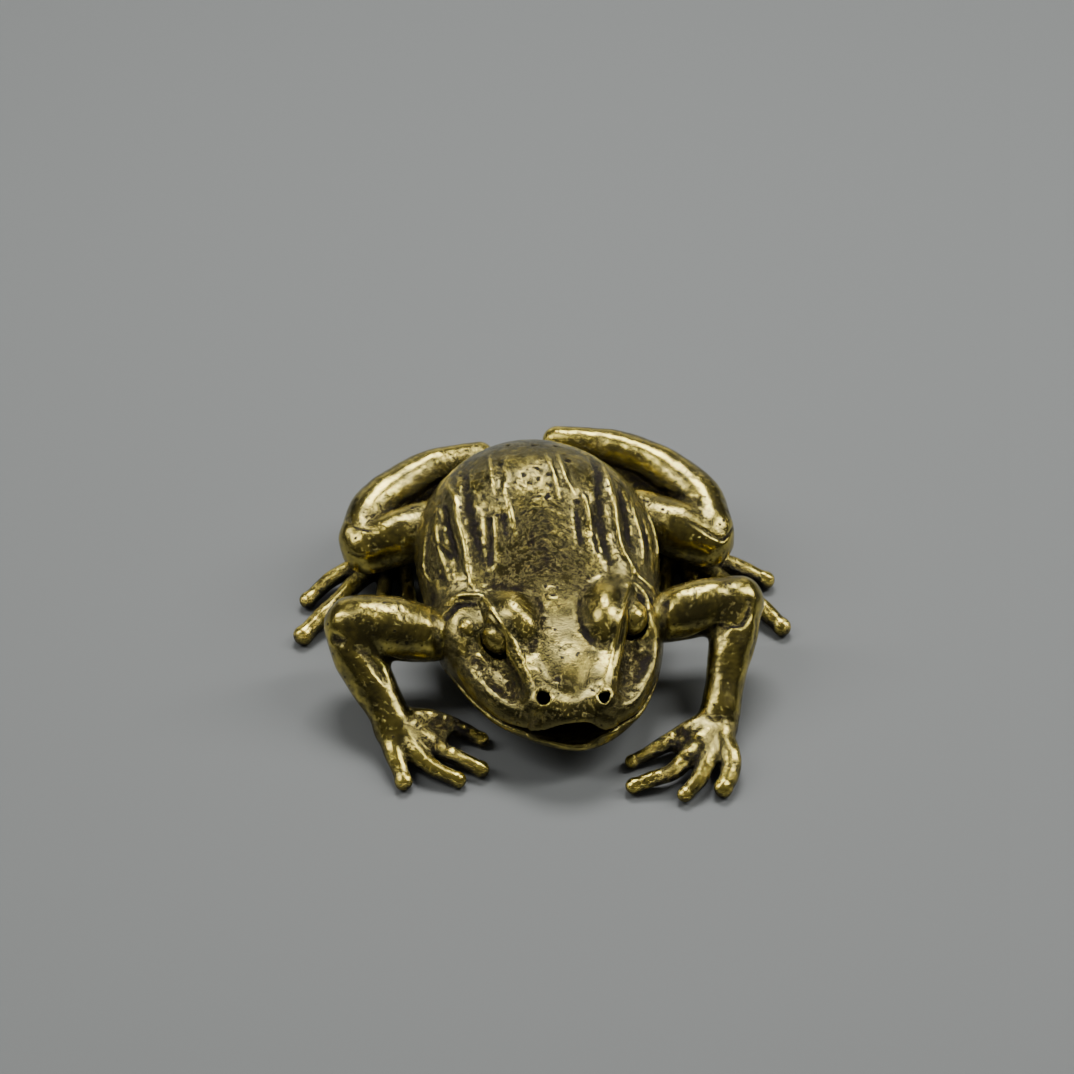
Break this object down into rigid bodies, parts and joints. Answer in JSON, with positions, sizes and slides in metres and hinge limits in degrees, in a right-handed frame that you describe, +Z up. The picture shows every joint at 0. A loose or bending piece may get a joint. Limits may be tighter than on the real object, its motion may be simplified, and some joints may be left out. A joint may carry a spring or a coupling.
{
  "type": "frog figurine",
  "caption": "Small cast brass frog ornament with an antique finish, crouching with folded hind legs and spread fingers and toes.",
  "frame": {"origin": "centre of the bounding box at the level of the soles", "axes": "+Z up, the frog faces -Y, +X is the frog's own left side"},
  "size_m": [0.0568, 0.0512, 0.0189],
  "materials": {
    "body_brass": "antique brass: polished high points, dark patina in the recesses",
    "leg_brass": "antique brass: rubbed bright along the tops of the limbs",
    "foot_brass": "antique brass: darker between the fingers and toes"
  },
  "bodies": {
    "root": {"back_casting": "body_brass", "belly_casting": "body_brass", "left_foreleg": "leg_brass", "right_foreleg": "leg_brass", "left_hind_leg": "leg_brass", "right_hind_leg": "leg_brass", "left_hind_foot": "foot_brass", "right_hind_foot": "foot_brass"}
  },
  "joints": []
}
